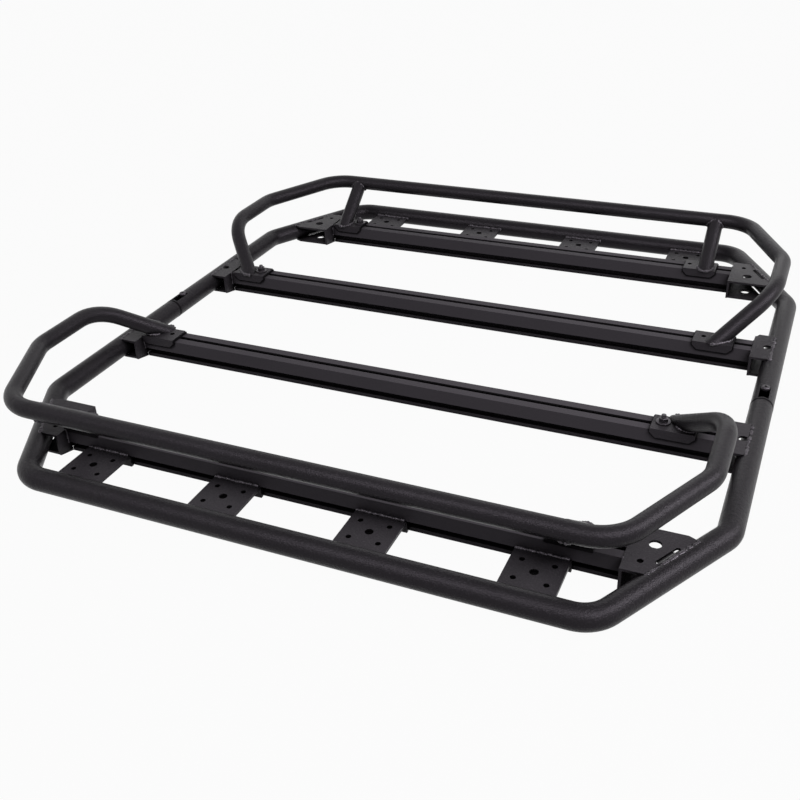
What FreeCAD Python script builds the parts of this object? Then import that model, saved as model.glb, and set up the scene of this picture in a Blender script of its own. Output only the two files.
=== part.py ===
import FreeCAD, Part
import Sketcher
import math
import os

# A flat roof rack: a ring of round tube, four slotted crossbars, sheet brackets
# that tie the bars to the ring, and a bent rail at each end.
# X runs along the crossbars, Y towards the rear, Z up.
# Levels are counted from the ring tube's centre line and lifted at the end, so that the
# rack stands on z = 0 with its overall box centred on the origin; lengths are in millimetres.

doc = FreeCAD.newDocument("roof_rack")
sheet = doc.addObject("Spreadsheet::Sheet", "Sizes")

SIZES = [
    # ring of round tube in two halves
    ("ring_half_x", 593.0), ("ring_half_y", 629.7), ("ring_cut_x", 133.5), ("ring_cut_y", 237.0),
    ("ring_od", 38.0), ("ring_wall", 2.5), ("ring_bend", 50.0),
    ("seam_y", -27.0), ("seam_gap", 2.5), ("sleeve_len", 150.0), ("sleeve_wall", 3.0),
    ("sleeve_clear", 0.2), ("port_len", 40.0), ("port_wid", 17.0), ("port_back", 25.0),
    # crossbars
    ("bar_w", 41.0), ("bar_top", 17.4), ("head_low", -7.0), ("bar_low", -27.5),
    ("toe_in", 6.0), ("toe_t", 7.0), ("stem_in", 14.0), ("bar_end_gap", 134.7), ("bar_mid_y", 163.0),
    ("corner_reach", 66.1), ("arm_reach", 40.0), ("bar_wall", 2.5),
    ("slot_w", 9.0), ("slot_lip", 3.5), ("room_w", 19.0), ("room_d", 8.0),
    # channel brackets
    ("plate_t", 4.0), ("chan_top", 18.7), ("chan_low", -19.4), ("arm_half", 47.0), ("weld_gap", 0.1),
    ("edge_back", 7.0), ("arm_hole_d", 15.0), ("arm_hole_x", 26.0),
    ("arm_clip_x", 7.0), ("arm_clip_y", 15.0),
    ("gus_in", 57.0), ("gus_out", 44.0), ("gus_notch_x", 13.0), ("gus_notch_y", 6.0),
    ("gus_big_d", 18.0), ("gus_big_x", 35.0), ("gus_big_y", 22.7),
    ("gus_pin_d", 9.0), ("gus_pin_x", 23.0), ("gus_pin_y", 19.3),
    ("gus_slot_w", 7.0), ("gus_slot_back", 13.05), ("gus_slot_out", 13.3), ("gus_slot_in", 22.0),
    # five-hole tabs
    ("tab_w", 82.0), ("tab_t", 5.5), ("tab_front_top", -6.7), ("tab_rear_top", 2.0), ("tab_under", 12.0),
    ("tab_drop", 22.0), ("tab_hole_x", 23.5), ("tab_hole_y", 20.5), ("tab_pin_d", 8.5), ("tab_mid_d", 13.0),
    ("tab_front_hole", 42.0), ("tab_rear_hole", 57.5),
    ("tab_front_first", 84.0), ("tab_front_last", 109.9), ("tab_rear_first", 99.5), ("tab_rear_last", 107.3),
    # bent end rails
    ("rail_od", 30.0), ("rail_wall", 2.2), ("rail_z", 93.5), ("rail_back", 49.5), ("rail_inset", 9.0),
    ("rail_cut_x", 90.7), ("rail_cut_y", 184.3), ("leg_run", 78.0), ("leg_foot_in", 48.0),
    ("leg_foot_off", 5.8), ("rail_bend", 71.0), ("leg_bend", 100.0),
    ("rail_front_x", -22.0), ("rail_rear_x", -11.0),
    ("post_in", 41.5), ("post_od", 31.0), ("post_wall", 2.0), ("post_foot_off", 6.7),
    # angle feet
    ("foot_t", 5.0), ("foot_back", 20.0), ("foot_lip", 11.0), ("foot_cut", 9.0), ("foot_hole_d", 9.0),
    ("leg_pad_len", 72.0), ("leg_pad_in", 58.0), ("leg_bolt_in", 77.0),
    ("post_pad_len", 66.0), ("post_pad_in", 53.0), ("post_bolt_in", 76.0),
]
for row, (name, number) in enumerate(SIZES, 1):
    sheet.set("A%d" % row, name)
    sheet.set("B%d" % row, str(number))
    sheet.setAlias("B%d" % row, name)
doc.recompute()


class Size:
    """A number together with the sheet expression it comes from."""

    def __init__(self, value, text):
        self.value = float(value)
        self.text = text

    def __add__(self, other):
        o = size(other)
        return Size(self.value + o.value, "(%s + %s)" % (self.text, o.text))

    def __radd__(self, other):
        return size(other) + self

    def __sub__(self, other):
        o = size(other)
        return Size(self.value - o.value, "(%s - %s)" % (self.text, o.text))

    def __rsub__(self, other):
        return size(other) - self

    def __mul__(self, other):
        o = size(other)
        return Size(self.value * o.value, "(%s * %s)" % (self.text, o.text))

    def __rmul__(self, other):
        return size(other) * self

    def __truediv__(self, other):
        o = size(other)
        return Size(self.value / o.value, "(%s / %s)" % (self.text, o.text))

    def __neg__(self):
        return Size(-self.value, "(0 - %s)" % self.text)


def size(x):
    if isinstance(x, Size):
        return x
    return Size(float(x), repr(float(x)))


def V(name):
    return Size(float(sheet.get(name)), "Sizes." + name)


# the bars end short of the ring tube, and the rails and tabs follow the bars
SLANT = V("ring_cut_x") / V("ring_cut_y")
BAR_OUT_Y = V("ring_half_y") - V("bar_end_gap")
BAR_OUT_HALF = V("ring_half_x") - V("ring_cut_x") + V("bar_end_gap") * SLANT - V("corner_reach")
BAR_MID_HALF = V("ring_half_x") - V("arm_reach")
RAIL_Y = V("ring_half_y") - V("rail_back")
RAIL_HALF_X = V("ring_half_x") - V("rail_inset")

# the bars' toes stand on the ground; the front rail sits a little to one side
LIFT = -V("bar_low")
RAIL_SIDE = RAIL_HALF_X + V("rail_od") / 2 - V("rail_front_x")
RING_SIDE = V("ring_half_x") + V("ring_od") / 2
MIDDLE = (RAIL_SIDE - RING_SIDE) / 2

TURN = {
    "XY": FreeCAD.Rotation(),
    "XZ": FreeCAD.Rotation(FreeCAD.Vector(1, 0, 0), 90),
    "YZ": FreeCAD.Rotation(FreeCAD.Vector(1, 1, 1), 120),
}
AXIS = {"XY": "z", "XZ": "y", "YZ": "x"}


def new_body(name):
    body = doc.addObject("PartDesign::Body", name)
    body.Label = name
    return body


def new_sketch(body, name, plane, level):
    sk = doc.addObject("Sketcher::SketchObject", name)
    body.addObject(sk)
    level = size(level)
    base = FreeCAD.Vector()
    setattr(base, AXIS[plane], level.value)
    sk.Placement = FreeCAD.Placement(base, TURN[plane])
    sk.setExpression("Placement.Base." + AXIS[plane], level.text)
    return sk


def pin(sk, geo, pos, x, y):
    """Ties one sketch point to sheet sizes."""
    for kind, val, axis in (("DistanceX", size(x), -2), ("DistanceY", size(y), -1)):
        if abs(val.value) < 1e-9:
            sk.addConstraint(Sketcher.Constraint("PointOnObject", geo, pos, axis))
        else:
            k = sk.addConstraint(Sketcher.Constraint(kind, -1, 1, geo, pos, val.value))
            sk.setExpression("Constraints[%d]" % k, val.text)


def polygon(sk, points):
    pts = [(size(x), size(y)) for x, y in points]
    first = sk.GeometryCount
    n = len(pts)
    for i in range(n):
        a = pts[i]
        b = pts[(i + 1) % n]
        sk.addGeometry(Part.LineSegment(FreeCAD.Vector(a[0].value, a[1].value, 0),
                                        FreeCAD.Vector(b[0].value, b[1].value, 0)), False)
    for i in range(n):
        sk.addConstraint(Sketcher.Constraint("Coincident", first + i, 2, first + (i + 1) % n, 1))
    for i in range(n):
        pin(sk, first + i, 1, *pts[i])


def circle(sk, x, y, d):
    x, y, d = size(x), size(y), size(d)
    centre = FreeCAD.Vector(x.value, y.value, 0)
    g = sk.addGeometry(Part.Circle(centre, FreeCAD.Vector(0, 0, 1), d.value / 2), False)
    k = sk.addConstraint(Sketcher.Constraint("Diameter", g, d.value))
    sk.setExpression("Constraints[%d]" % k, d.text)
    pin(sk, g, 3, x, y)


def long_hole(sk, ax, ay, bx, by, w):
    """A slot with round ends between two centres."""
    ax, ay, bx, by, w = [size(v) for v in (ax, ay, bx, by, w)]
    a = FreeCAD.Vector(ax.value, ay.value, 0)
    b = FreeCAD.Vector(bx.value, by.value, 0)
    d = b.sub(a)
    ang = math.atan2(d.y, d.x)
    n = FreeCAD.Vector(-math.sin(ang), math.cos(ang), 0).multiply(w.value / 2)
    up = FreeCAD.Vector(0, 0, 1)
    quarter = math.pi / 2
    near = Part.Circle(a, up, w.value / 2)
    far = Part.Circle(b, up, w.value / 2)
    g0 = sk.addGeometry(Part.ArcOfCircle(near, ang + quarter, ang + 3 * quarter), False)
    g1 = sk.addGeometry(Part.LineSegment(a.sub(n), b.sub(n)), False)
    g2 = sk.addGeometry(Part.ArcOfCircle(far, ang - quarter, ang + quarter), False)
    g3 = sk.addGeometry(Part.LineSegment(b.add(n), a.add(n)), False)
    for p, pe, q, qe in ((g0, 2, g1, 1), (g1, 2, g2, 1), (g2, 2, g3, 1), (g3, 2, g0, 1)):
        sk.addConstraint(Sketcher.Constraint("Tangent", p, pe, q, qe))
    pin(sk, g0, 3, ax, ay)
    pin(sk, g2, 3, bx, by)
    k = sk.addConstraint(Sketcher.Constraint("Radius", g0, w.value / 2))
    sk.setExpression("Constraints[%d]" % k, (w / 2).text)


def pad(body, name, sk, length, back=False):
    f = doc.addObject("PartDesign::Pad", name)
    body.addObject(f)
    f.Profile = sk
    length = size(length)
    f.Length = length.value
    f.setExpression("Length", length.text)
    f.Reversed = back
    return f


def pocket(body, name, sk, length, back=False):
    f = doc.addObject("PartDesign::Pocket", name)
    body.addObject(f)
    f.Profile = sk
    length = size(length)
    f.Length = length.value
    f.setExpression("Length", length.text)
    f.Reversed = back
    return f


def put(body, x, y, turn=0.0):
    """Moves a finished body to its place on the rack."""
    x, y = size(x) + MIDDLE, size(y)
    body.Placement = FreeCAD.Placement(FreeCAD.Vector(x.value, y.value, LIFT.value),
                                       FreeCAD.Rotation(FreeCAD.Vector(0, 0, 1), turn))
    body.setExpression("Placement.Base.x", x.text)
    body.setExpression("Placement.Base.y", y.text)
    body.setExpression("Placement.Base.z", LIFT.text)


# Ring: each half is one tube bent four times, swept along a sketched centre line.
def bent_path(sk, points, radii):
    pts = [(size(x), size(y)) for x, y in points]
    n = len(pts)
    vec = [FreeCAD.Vector(a.value, b.value, 0) for a, b in pts]
    guide = sk.GeometryCount
    for i in range(n - 1):
        sk.addGeometry(Part.LineSegment(vec[i], vec[i + 1]), True)
    for i in range(n - 2):
        sk.addConstraint(Sketcher.Constraint("Coincident", guide + i, 2, guide + i + 1, 1))
    for i in range(n - 1):
        pin(sk, guide + i, 1, *pts[i])
    pin(sk, guide + n - 2, 2, *pts[n - 1])
    ends = []
    arcs = []
    for i in range(1, n - 1):
        r = size(radii[i - 1])
        u = vec[i - 1].sub(vec[i]).normalize()
        w = vec[i + 1].sub(vec[i]).normalize()
        half = math.acos(max(-1.0, min(1.0, u.dot(w)))) / 2
        t = r.value / math.tan(half)
        a = vec[i].add(FreeCAD.Vector(u).multiply(t))
        b = vec[i].add(FreeCAD.Vector(w).multiply(t))
        mid = u.add(w).normalize()
        c = vec[i].add(FreeCAD.Vector(mid).multiply(r.value / math.sin(half)))
        m = c.sub(FreeCAD.Vector(mid).multiply(r.value))
        ends.append((a, b))
        to_left = (vec[i].sub(vec[i - 1])).cross(vec[i + 1].sub(vec[i])).z > 0
        arcs.append((Part.Arc(a, m, b), r, to_left))
    starts = [vec[0]] + [e[1] for e in ends]
    stops = [e[0] for e in ends] + [vec[-1]]
    lines = []
    bows = []
    for i in range(n - 1):
        lines.append(sk.addGeometry(Part.LineSegment(starts[i], stops[i]), False))
        if i < n - 2:
            bows.append(sk.addGeometry(arcs[i][0], False))
    for i in range(n - 1):
        if i == 0:
            sk.addConstraint(Sketcher.Constraint("Coincident", lines[i], 1, guide, 1))
        else:
            sk.addConstraint(Sketcher.Constraint("PointOnObject", lines[i], 1, guide + i))
        if i == n - 2:
            sk.addConstraint(Sketcher.Constraint("Coincident", lines[i], 2, guide + i, 2))
        else:
            sk.addConstraint(Sketcher.Constraint("PointOnObject", lines[i], 2, guide + i))
    for i, bow in enumerate(bows):
        left = arcs[i][2]
        sk.addConstraint(Sketcher.Constraint("Tangent", lines[i], 2, bow, 1 if left else 2))
        sk.addConstraint(Sketcher.Constraint("Tangent", bow, 2 if left else 1, lines[i + 1], 1))
        k = sk.addConstraint(Sketcher.Constraint("Radius", bow, arcs[i][1].value))
        sk.setExpression("Constraints[%d]" % k, arcs[i][1].text)


def ring_half(name, side):
    body = new_body(name)
    hx = V("ring_half_x")
    hy = V("ring_half_y") * side
    near = V("seam_y") + V("seam_gap") / 2 * side
    shoulder = (V("ring_half_y") - V("ring_cut_y")) * side
    inner = hx - V("ring_cut_x")
    path = new_sketch(body, name + "_path", "XY", 0)
    bent_path(path, [(hx, near), (hx, shoulder), (inner, hy), (-inner, hy), (-hx, shoulder), (-hx, near)],
              [V("ring_bend")] * 4)
    hoop = new_sketch(body, name + "_section", "XZ", near)
    circle(hoop, hx, 0, V("ring_od"))
    circle(hoop, hx, 0, V("ring_od") - V("ring_wall") * 2)
    pipe = doc.addObject("PartDesign::AdditivePipe", name + "_tube")
    body.addObject(pipe)
    pipe.Profile = hoop
    pipe.Spine = path
    pipe.Transition = "Transformed"
    if side > 0:
        cut = new_sketch(body, name + "_ports", "XY", V("ring_od"))
        low = V("seam_y") + V("port_back") - V("port_len") / 2
        high = low + V("port_len")
        half = V("port_wid") / 2
        for mid in (hx, -hx):
            polygon(cut, [(mid - half, low), (mid + half, low), (mid + half, high), (mid - half, high)])
        pocket(body, name + "_port_cut", cut, V("ring_od"))
    put(body, 0, 0)
    return body


ring_front = ring_half("ring_front", -1)
ring_rear = ring_half("ring_rear", 1)


def sleeve(name, sign):
    body = new_body(name)
    d = V("ring_od") - V("ring_wall") * 2 - V("sleeve_clear") * 2
    sk = new_sketch(body, name + "_section", "XZ", V("sleeve_len") / 2)
    circle(sk, 0, 0, d)
    circle(sk, 0, 0, d - V("sleeve_wall") * 2)
    pad(body, name + "_tube", sk, V("sleeve_len"))
    port = new_sketch(body, name + "_port", "XY", V("ring_od"))
    low = V("port_back") - V("port_len") / 2
    high = V("port_back") + V("port_len") / 2
    half = V("port_wid") / 2
    polygon(port, [(-half, low), (half, low), (half, high), (-half, high)])
    pocket(body, name + "_port_cut", port, V("ring_od"))
    put(body, V("ring_half_x") * sign, V("seam_y"))
    return body


sleeve("splice_right", 1)
sleeve("splice_left", -1)


# Crossbars: a box head with a tee slot along its top, a narrow stem and a toe below.
def crossbar(name, y, half):
    body = new_body(name)
    w = V("bar_w") / 2
    top = V("bar_top")
    low = V("bar_low")
    head = V("head_low")
    toe = w - V("toe_in")
    stem = w - V("stem_in")
    knee = low + V("toe_t")
    s = V("slot_w") / 2
    r = V("room_w") / 2
    lip = top - V("slot_lip")
    floor = lip - V("room_d")
    right = [(toe, low), (toe, knee), (stem, knee), (stem, head), (w, head), (w, top)]
    right += [(s, top), (s, lip), (r, lip), (r, floor)]
    left = [(-x, z) for x, z in reversed(right)]
    sk = new_sketch(body, name + "_section", "YZ", -half)
    polygon(sk, right + left)
    t = V("bar_wall")
    polygon(sk, [(-r, head + t), (r, head + t), (r, floor - t), (-r, floor - t)])
    for sign in (1, -1):
        a = (r + t) * sign
        b = (w - t) * sign
        polygon(sk, [(a, head + t), (b, head + t), (b, top - t), (a, top - t)])
    pad(body, name + "_bar", sk, half * 2)
    put(body, 0, y)
    return body


crossbar("crossbar_1", BAR_OUT_Y, BAR_OUT_HALF)
crossbar("crossbar_2", V("bar_mid_y"), BAR_MID_HALF)
crossbar("crossbar_3", -V("bar_mid_y"), BAR_MID_HALF)
crossbar("crossbar_4", -BAR_OUT_Y, BAR_OUT_HALF)


# Channel brackets carry the two middle bars to the straight sides of the ring.
def arm(name, sign, y):
    body = new_body(name)
    reach = V("ring_half_x") - BAR_MID_HALF
    tip = reach - V("edge_back")
    t = V("plate_t")
    top = V("chan_top")
    low = V("chan_low")
    half = V("arm_half")
    sk = new_sketch(body, name + "_section", "XZ", half)
    lower = [(0, low), (tip, low), (tip, low + t), (t, low + t)]
    upper = [(t, top - t), (tip, top - t), (tip, top), (0, top)]
    polygon(sk, lower + upper)
    pad(body, name + "_channel", sk, half * 2)
    cope = new_sketch(body, name + "_cope", "XZ", half + 1)
    circle(cope, reach, 0, V("ring_od") + V("weld_gap") * 2)
    pocket(body, name + "_cope_cut", cope, half * 2 + 2, True)
    holes = new_sketch(body, name + "_holes", "XY", top + 1)
    circle(holes, V("arm_hole_x"), 0, V("arm_hole_d"))
    pocket(body, name + "_hole_cut", holes, top - low + 2)
    clip = new_sketch(body, name + "_clip", "XY", top + 1)
    back = half * sign
    polygon(clip, [(-1, back - V("arm_clip_y") * sign), (0, back - V("arm_clip_y") * sign),
                   (V("arm_clip_x"), back), (V("arm_clip_x"), back + sign), (-1, back + sign)])
    pocket(body, name + "_clip_cut", clip, t + 1)
    put(body, BAR_MID_HALF * sign, y, 0.0 if sign > 0 else 180.0)
    return body


arm("arm_2_right", 1, V("bar_mid_y"))
arm("arm_2_left", -1, V("bar_mid_y"))
arm("arm_3_right", 1, -V("bar_mid_y"))
arm("arm_3_left", -1, -V("bar_mid_y"))


# Corner channels carry the outer bars to the slanted corners of the ring.
def gusset(name, sign, side):
    """Drawn for the right end; hand is the side of the bar that faces the rack's middle."""
    body = new_body(name)
    hand = sign * side
    t = V("plate_t")
    top = V("chan_top")
    low = V("chan_low")
    inward = V("gus_in")
    out = V("gus_out")

    def beside(y, back):
        """How far from the bar's end a line beside the slanted tube runs; y grows towards the ring's end."""
        return V("corner_reach") - size(y) * SLANT - back

    # the plates lap the tube by a little more than their square set-back
    lap = V("edge_back") * 1.15
    notch = V("gus_notch_y") - inward
    outline = [(size(0), -inward), (beside(notch, lap) - V("gus_notch_x"), -inward),
               (beside(notch, lap), notch), (beside(out, lap), out), (size(0), out)]
    flat = [(x, y * hand) for x, y in outline]
    for tag, level in (("top", top - t), ("low", low)):
        sk = new_sketch(body, name + "_" + tag, "XY", level)
        polygon(sk, flat)
        pad(body, name + "_" + tag + "_plate", sk, t)
    wall = new_sketch(body, name + "_wall", "XY", low)
    polygon(wall, [(0, -inward * hand), (t, -inward * hand), (t, out * hand), (0, out * hand)])
    pad(body, name + "_wall_plate", wall, top - low)
    # cope to the slanted tube
    cope = doc.addObject("Sketcher::SketchObject", name + "_cope")
    body.addObject(cope)
    cx = V("corner_reach")
    lean = math.degrees(math.atan2(V("ring_cut_x").value, V("ring_cut_y").value)) * hand
    turn = FreeCAD.Rotation(FreeCAD.Vector(0, 0, 1), lean).multiply(TURN["XZ"])
    cope.Placement = FreeCAD.Placement(FreeCAD.Vector(cx.value, 0, 0), turn)
    cope.setExpression("Placement.Base.x", cx.text)
    circle(cope, 0, 0, V("ring_od") + V("weld_gap") * 2)
    both = pocket(body, name + "_cope_cut", cope, V("gus_in") * 4)
    both.Midplane = True
    holes = new_sketch(body, name + "_holes", "XY", top + 1)
    circle(holes, V("gus_big_x"), -V("gus_big_y") * hand, V("gus_big_d"))
    circle(holes, V("gus_pin_x"), V("gus_pin_y") * hand, V("gus_pin_d"))
    a = V("gus_slot_out")
    b = -V("gus_slot_in")
    back = V("gus_slot_back")
    long_hole(holes, beside(a, back), a * hand, beside(b, back), b * hand, V("gus_slot_w"))
    pocket(body, name + "_hole_cut", holes, top - low + 2)
    put(body, BAR_OUT_HALF * sign, BAR_OUT_Y * side, 0.0 if sign > 0 else 180.0)
    return body


gusset("corner_rear_right", 1, 1)
gusset("corner_rear_left", -1, 1)
gusset("corner_front_right", 1, -1)
gusset("corner_front_left", -1, -1)


# Five-hole tabs bridge the outer bars and the ring's end tubes.
def tab(name, x, side, top, hole, under):
    body = new_body(name)
    t = V("tab_t")
    half = V("tab_w") / 2
    reach = V("ring_half_y") - BAR_OUT_Y - V("bar_w") / 2
    tip = reach - V("edge_back")
    low = top - V("tab_drop")
    sk = new_sketch(body, name + "_section", "YZ", -half)
    if under is None:
        shape = [(0, top), (0, low), (t, low), (t, top - t), (tip, top - t), (tip, top)]
    else:
        shape = [(-under, top), (-under, top - t), (-t, top - t), (-t, low),
                 (0, low), (0, top - t), (tip, top - t), (tip, top)]
    polygon(sk, shape)
    pad(body, name + "_plate", sk, half * 2)
    cope = new_sketch(body, name + "_cope", "YZ", -half - 1)
    circle(cope, reach, 0, V("ring_od") + V("weld_gap") * 2)
    pocket(body, name + "_cope_cut", cope, half * 2 + 2, True)
    holes = new_sketch(body, name + "_holes", "XY", top + 1)
    for sx in (1, -1):
        for sy in (1, -1):
            circle(holes, V("tab_hole_x") * sx, hole + V("tab_hole_y") * sy, V("tab_pin_d"))
    circle(holes, 0, hole, V("tab_mid_d"))
    pocket(body, name + "_hole_cut", holes, t + 2)
    put(body, x, (BAR_OUT_Y + V("bar_w") / 2) * side, 0.0 if side > 0 else 180.0)
    return body


for i in range(4):
    for end, side, under in (("front", -1, V("tab_under")), ("rear", 1, None)):
        first = V("tab_%s_first" % end)
        pitch = (BAR_OUT_HALF * 2 - first - V("tab_%s_last" % end)) / 3
        x = first - BAR_OUT_HALF + pitch * i
        tab("tab_%s_%d" % (end, i + 1), x, side, V("tab_%s_top" % end), V("tab_%s_hole" % end), under)


# End rails: one tube each, bent in the flat and then down to the bars, so the sweep runs in space.
def bent_tube(points, radii, od, wall):
    edges = []
    start = points[0]
    for i in range(1, len(points) - 1):
        p = points[i]
        u = points[i - 1].sub(p).normalize()
        w = points[i + 1].sub(p).normalize()
        half = math.acos(u.dot(w)) / 2
        r = radii[i - 1]
        a = p.add(FreeCAD.Vector(u).multiply(r / math.tan(half)))
        b = p.add(FreeCAD.Vector(w).multiply(r / math.tan(half)))
        mid = u.add(w).normalize()
        m = p.add(FreeCAD.Vector(mid).multiply(r / math.sin(half) - r))
        edges.append(Part.makeLine(start, a))
        edges.append(Part.Arc(a, m, b).toShape())
        start = b
    edges.append(Part.makeLine(start, points[-1]))
    wire = Part.Wire(edges)
    d = points[1].sub(points[0])
    solids = []
    for r in (od / 2, od / 2 - wall):
        ring = Part.Wire([Part.makeCircle(r, points[0], d)])
        shell = wire.makePipeShell([ring], True, False)
        solids.append(shell)
    return solids


def rail(name, side, shift):
    z = V("rail_z").value
    hx = RAIL_HALF_X.value
    y0 = RAIL_Y.value
    cx = V("rail_cut_x").value
    cy = V("rail_cut_y").value
    foot = FreeCAD.Vector((BAR_MID_HALF - V("leg_foot_in")).value,
                          (V("bar_mid_y") - V("leg_foot_off")).value,
                          (V("bar_top") + V("foot_t")).value)
    knee = FreeCAD.Vector(hx, (V("bar_mid_y") + V("leg_run")).value, z)
    low = foot.add(foot.sub(knee).normalize().multiply(V("rail_od").value))
    half = [low, knee, FreeCAD.Vector(hx, y0 - cy, z), FreeCAD.Vector(hx - cx, y0, z)]
    pts = half + [FreeCAD.Vector(-p.x, p.y, p.z) for p in reversed(half)]
    pts = [FreeCAD.Vector(p.x, p.y * side, p.z) for p in pts]
    bends = [V("leg_bend").value, V("rail_bend").value, V("rail_bend").value]
    outer, inner = bent_tube(pts, bends + bends[::-1], V("rail_od").value, V("rail_wall").value)
    level = V("bar_top").value + V("foot_t").value
    below = Part.makeBox(3000, 3000, 300, FreeCAD.Vector(-1500, -1500, level - 300))
    shape = outer.cut(inner).cut(below)
    obj = doc.addObject("Part::Feature", name)
    obj.Label = name
    obj.Shape = shape.Solids[0] if len(shape.Solids) == 1 else shape
    place = V(shift) + MIDDLE
    obj.Placement = FreeCAD.Placement(FreeCAD.Vector(place.value, 0, LIFT.value), FreeCAD.Rotation())
    return obj


rail("rail_front", -1, "rail_front_x")
rail("rail_rear", 1, "rail_rear_x")


# Leaning posts hold each rail above the outer bar.
def post(name, sign, side, shift):
    level = V("bar_top") + V("foot_t") + LIFT
    x = V(shift) + (BAR_OUT_HALF - V("post_in")) * sign + MIDDLE
    rise = V("rail_z") + LIFT - level
    foot_y = BAR_OUT_Y - V("post_foot_off")
    lean = RAIL_Y - foot_y
    length = math.hypot(rise.value, lean.value)
    axis = FreeCAD.Rotation(FreeCAD.Vector(0, 0, 1), FreeCAD.Vector(0, lean.value * side, rise.value))
    extra = V("post_od").value * 1.5
    unit = FreeCAD.Vector(0, lean.value * side, rise.value).normalize()
    base = FreeCAD.Vector(x.value, foot_y.value * side, level.value).sub(unit.multiply(extra))
    parts = []
    for tag, d in (("skin", V("post_od")), ("bore", V("post_od") - V("post_wall") * 2)):
        c = doc.addObject("Part::Cylinder", name + "_" + tag)
        c.Radius = d.value / 2
        c.setExpression("Radius", (d / 2).text)
        c.Height = length + extra
        c.Placement = FreeCAD.Placement(base, axis)
        c.setExpression("Placement.Base.x", x.text)
        parts.append(c)
    tube = doc.addObject("Part::Cut", name + "_tube")
    tube.Base = parts[0]
    tube.Tool = parts[1]
    floor = doc.addObject("Part::Box", name + "_floor")
    floor.Length = 200
    floor.Width = 400
    floor.Height = 100
    corner = FreeCAD.Vector(x.value - 100, foot_y.value * side - 200, level.value - 100)
    floor.Placement = FreeCAD.Placement(corner, FreeCAD.Rotation())
    floor.setExpression("Placement.Base.x", (x - 100).text)
    floor.setExpression("Placement.Base.z", (level - 100).text)
    flat = doc.addObject("Part::Cut", name + "_flat")
    flat.Base = tube
    flat.Tool = floor
    saddle = doc.addObject("Part::Cylinder", name + "_saddle")
    reach = V("rail_od") / 2 + V("weld_gap")
    saddle.Radius = reach.value
    saddle.setExpression("Radius", reach.text)
    saddle.Height = 200
    start = FreeCAD.Vector(x.value - 100, RAIL_Y.value * side, (V("rail_z") + LIFT).value)
    saddle.Placement = FreeCAD.Placement(start, FreeCAD.Rotation(FreeCAD.Vector(0, 1, 0), 90))
    saddle.setExpression("Placement.Base.x", (x - 100).text)
    saddle.setExpression("Placement.Base.y", (RAIL_Y * side).text)
    saddle.setExpression("Placement.Base.z", (V("rail_z") + LIFT).text)
    done = doc.addObject("Part::Cut", name)
    done.Label = name
    done.Base = flat
    done.Tool = saddle
    return done


POSTS = []
for side, tag, shift in ((-1, "front", "rail_front_x"), (1, "rear", "rail_rear_x")):
    for sign, hand in ((1, "right"), (-1, "left")):
        POSTS.append("post_%s_%s" % (tag, hand))
        post(POSTS[-1], sign, side, shift)


# Angle feet hook over a bar's top edge and take one bolt into its slot.
def foot(name, length, x, y, bolt, turn):
    body = new_body(name)
    half = length / 2
    w = V("bar_w") / 2
    t = V("foot_t")
    top = V("bar_top")
    flat = new_sketch(body, name + "_flat", "XY", top)
    polygon(flat, [(-half, -w - t), (half, -w - t), (half, V("foot_back")), (-half, V("foot_back"))])
    pad(body, name + "_top", flat, t)
    cut = V("foot_cut")
    lip = new_sketch(body, name + "_lip", "XZ", -w)
    low = top - V("foot_lip")
    polygon(lip, [(-half + cut, low), (half - cut, low), (half, low + cut),
                  (half, top), (-half, top), (-half, low + cut)])
    pad(body, name + "_flange", lip, t)
    hole = new_sketch(body, name + "_hole", "XY", top + t + 1)
    circle(hole, bolt, 0, V("foot_hole_d"))
    pocket(body, name + "_hole_cut", hole, t + 2)
    put(body, x, y, turn)
    return body


for side, tag, shift in ((-1, "front", "rail_front_x"), (1, "rear", "rail_rear_x")):
    for sign, hand in ((1, "right"), (-1, "left")):
        leg_x = V(shift) + (BAR_MID_HALF - V("leg_pad_in")) * sign
        leg_bolt = (V("leg_pad_in") - V("leg_bolt_in")) * sign
        foot("leg_foot_%s_%s" % (tag, hand), V("leg_pad_len"), leg_x, V("bar_mid_y") * side, leg_bolt, 0.0)
        post_x = V(shift) + (BAR_OUT_HALF - V("post_pad_in")) * sign
        post_bolt = (V("post_pad_in") - V("post_bolt_in")) * sign * side
        foot("post_foot_%s_%s" % (tag, hand), V("post_pad_len"), post_x, BAR_OUT_Y * side, post_bolt,
             0.0 if side > 0 else 180.0)

doc.recompute()

wanted = [o for o in doc.Objects if o.TypeId == "PartDesign::Body" or o.TypeId == "Part::Feature"]
wanted += [o for o in doc.Objects if o.TypeId == "Part::Cut" and o.Label in POSTS]
for obj in doc.Objects:
    bad = [s for s in obj.State if s in ("Invalid", "Error")]
    if bad:
        raise RuntimeError("%s is %s" % (obj.Name, bad))
os.makedirs("parts", exist_ok=True)
for obj in wanted:
    shape = obj.Shape
    if shape.isNull() or not shape.isValid() or len(shape.Solids) != 1:
        raise RuntimeError("%s is not one valid solid: %d found" % (obj.Label, len(shape.Solids)))
    shape.exportStep("parts/%s.step" % obj.Label)
print("parts written:", len(wanted))
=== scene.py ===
# %% [markdown]
# # A flat roof rack
# The rack is a ring of black tube with four slotted crossbars, sheet brackets and a raised rail at
# each end. Its solids come from the imported frame at their real size, in metres. This lesson gives
# them their coat, adds what a welder and a fitter leave behind, which is weld beads, bolts and nuts,
# adds near-black sheets and bands as painted shade under the feet and at the seams, and sets up the
# studio.

# %% Load the frame
import math
import random

import bpy
from mathutils import Matrix, Vector


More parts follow.
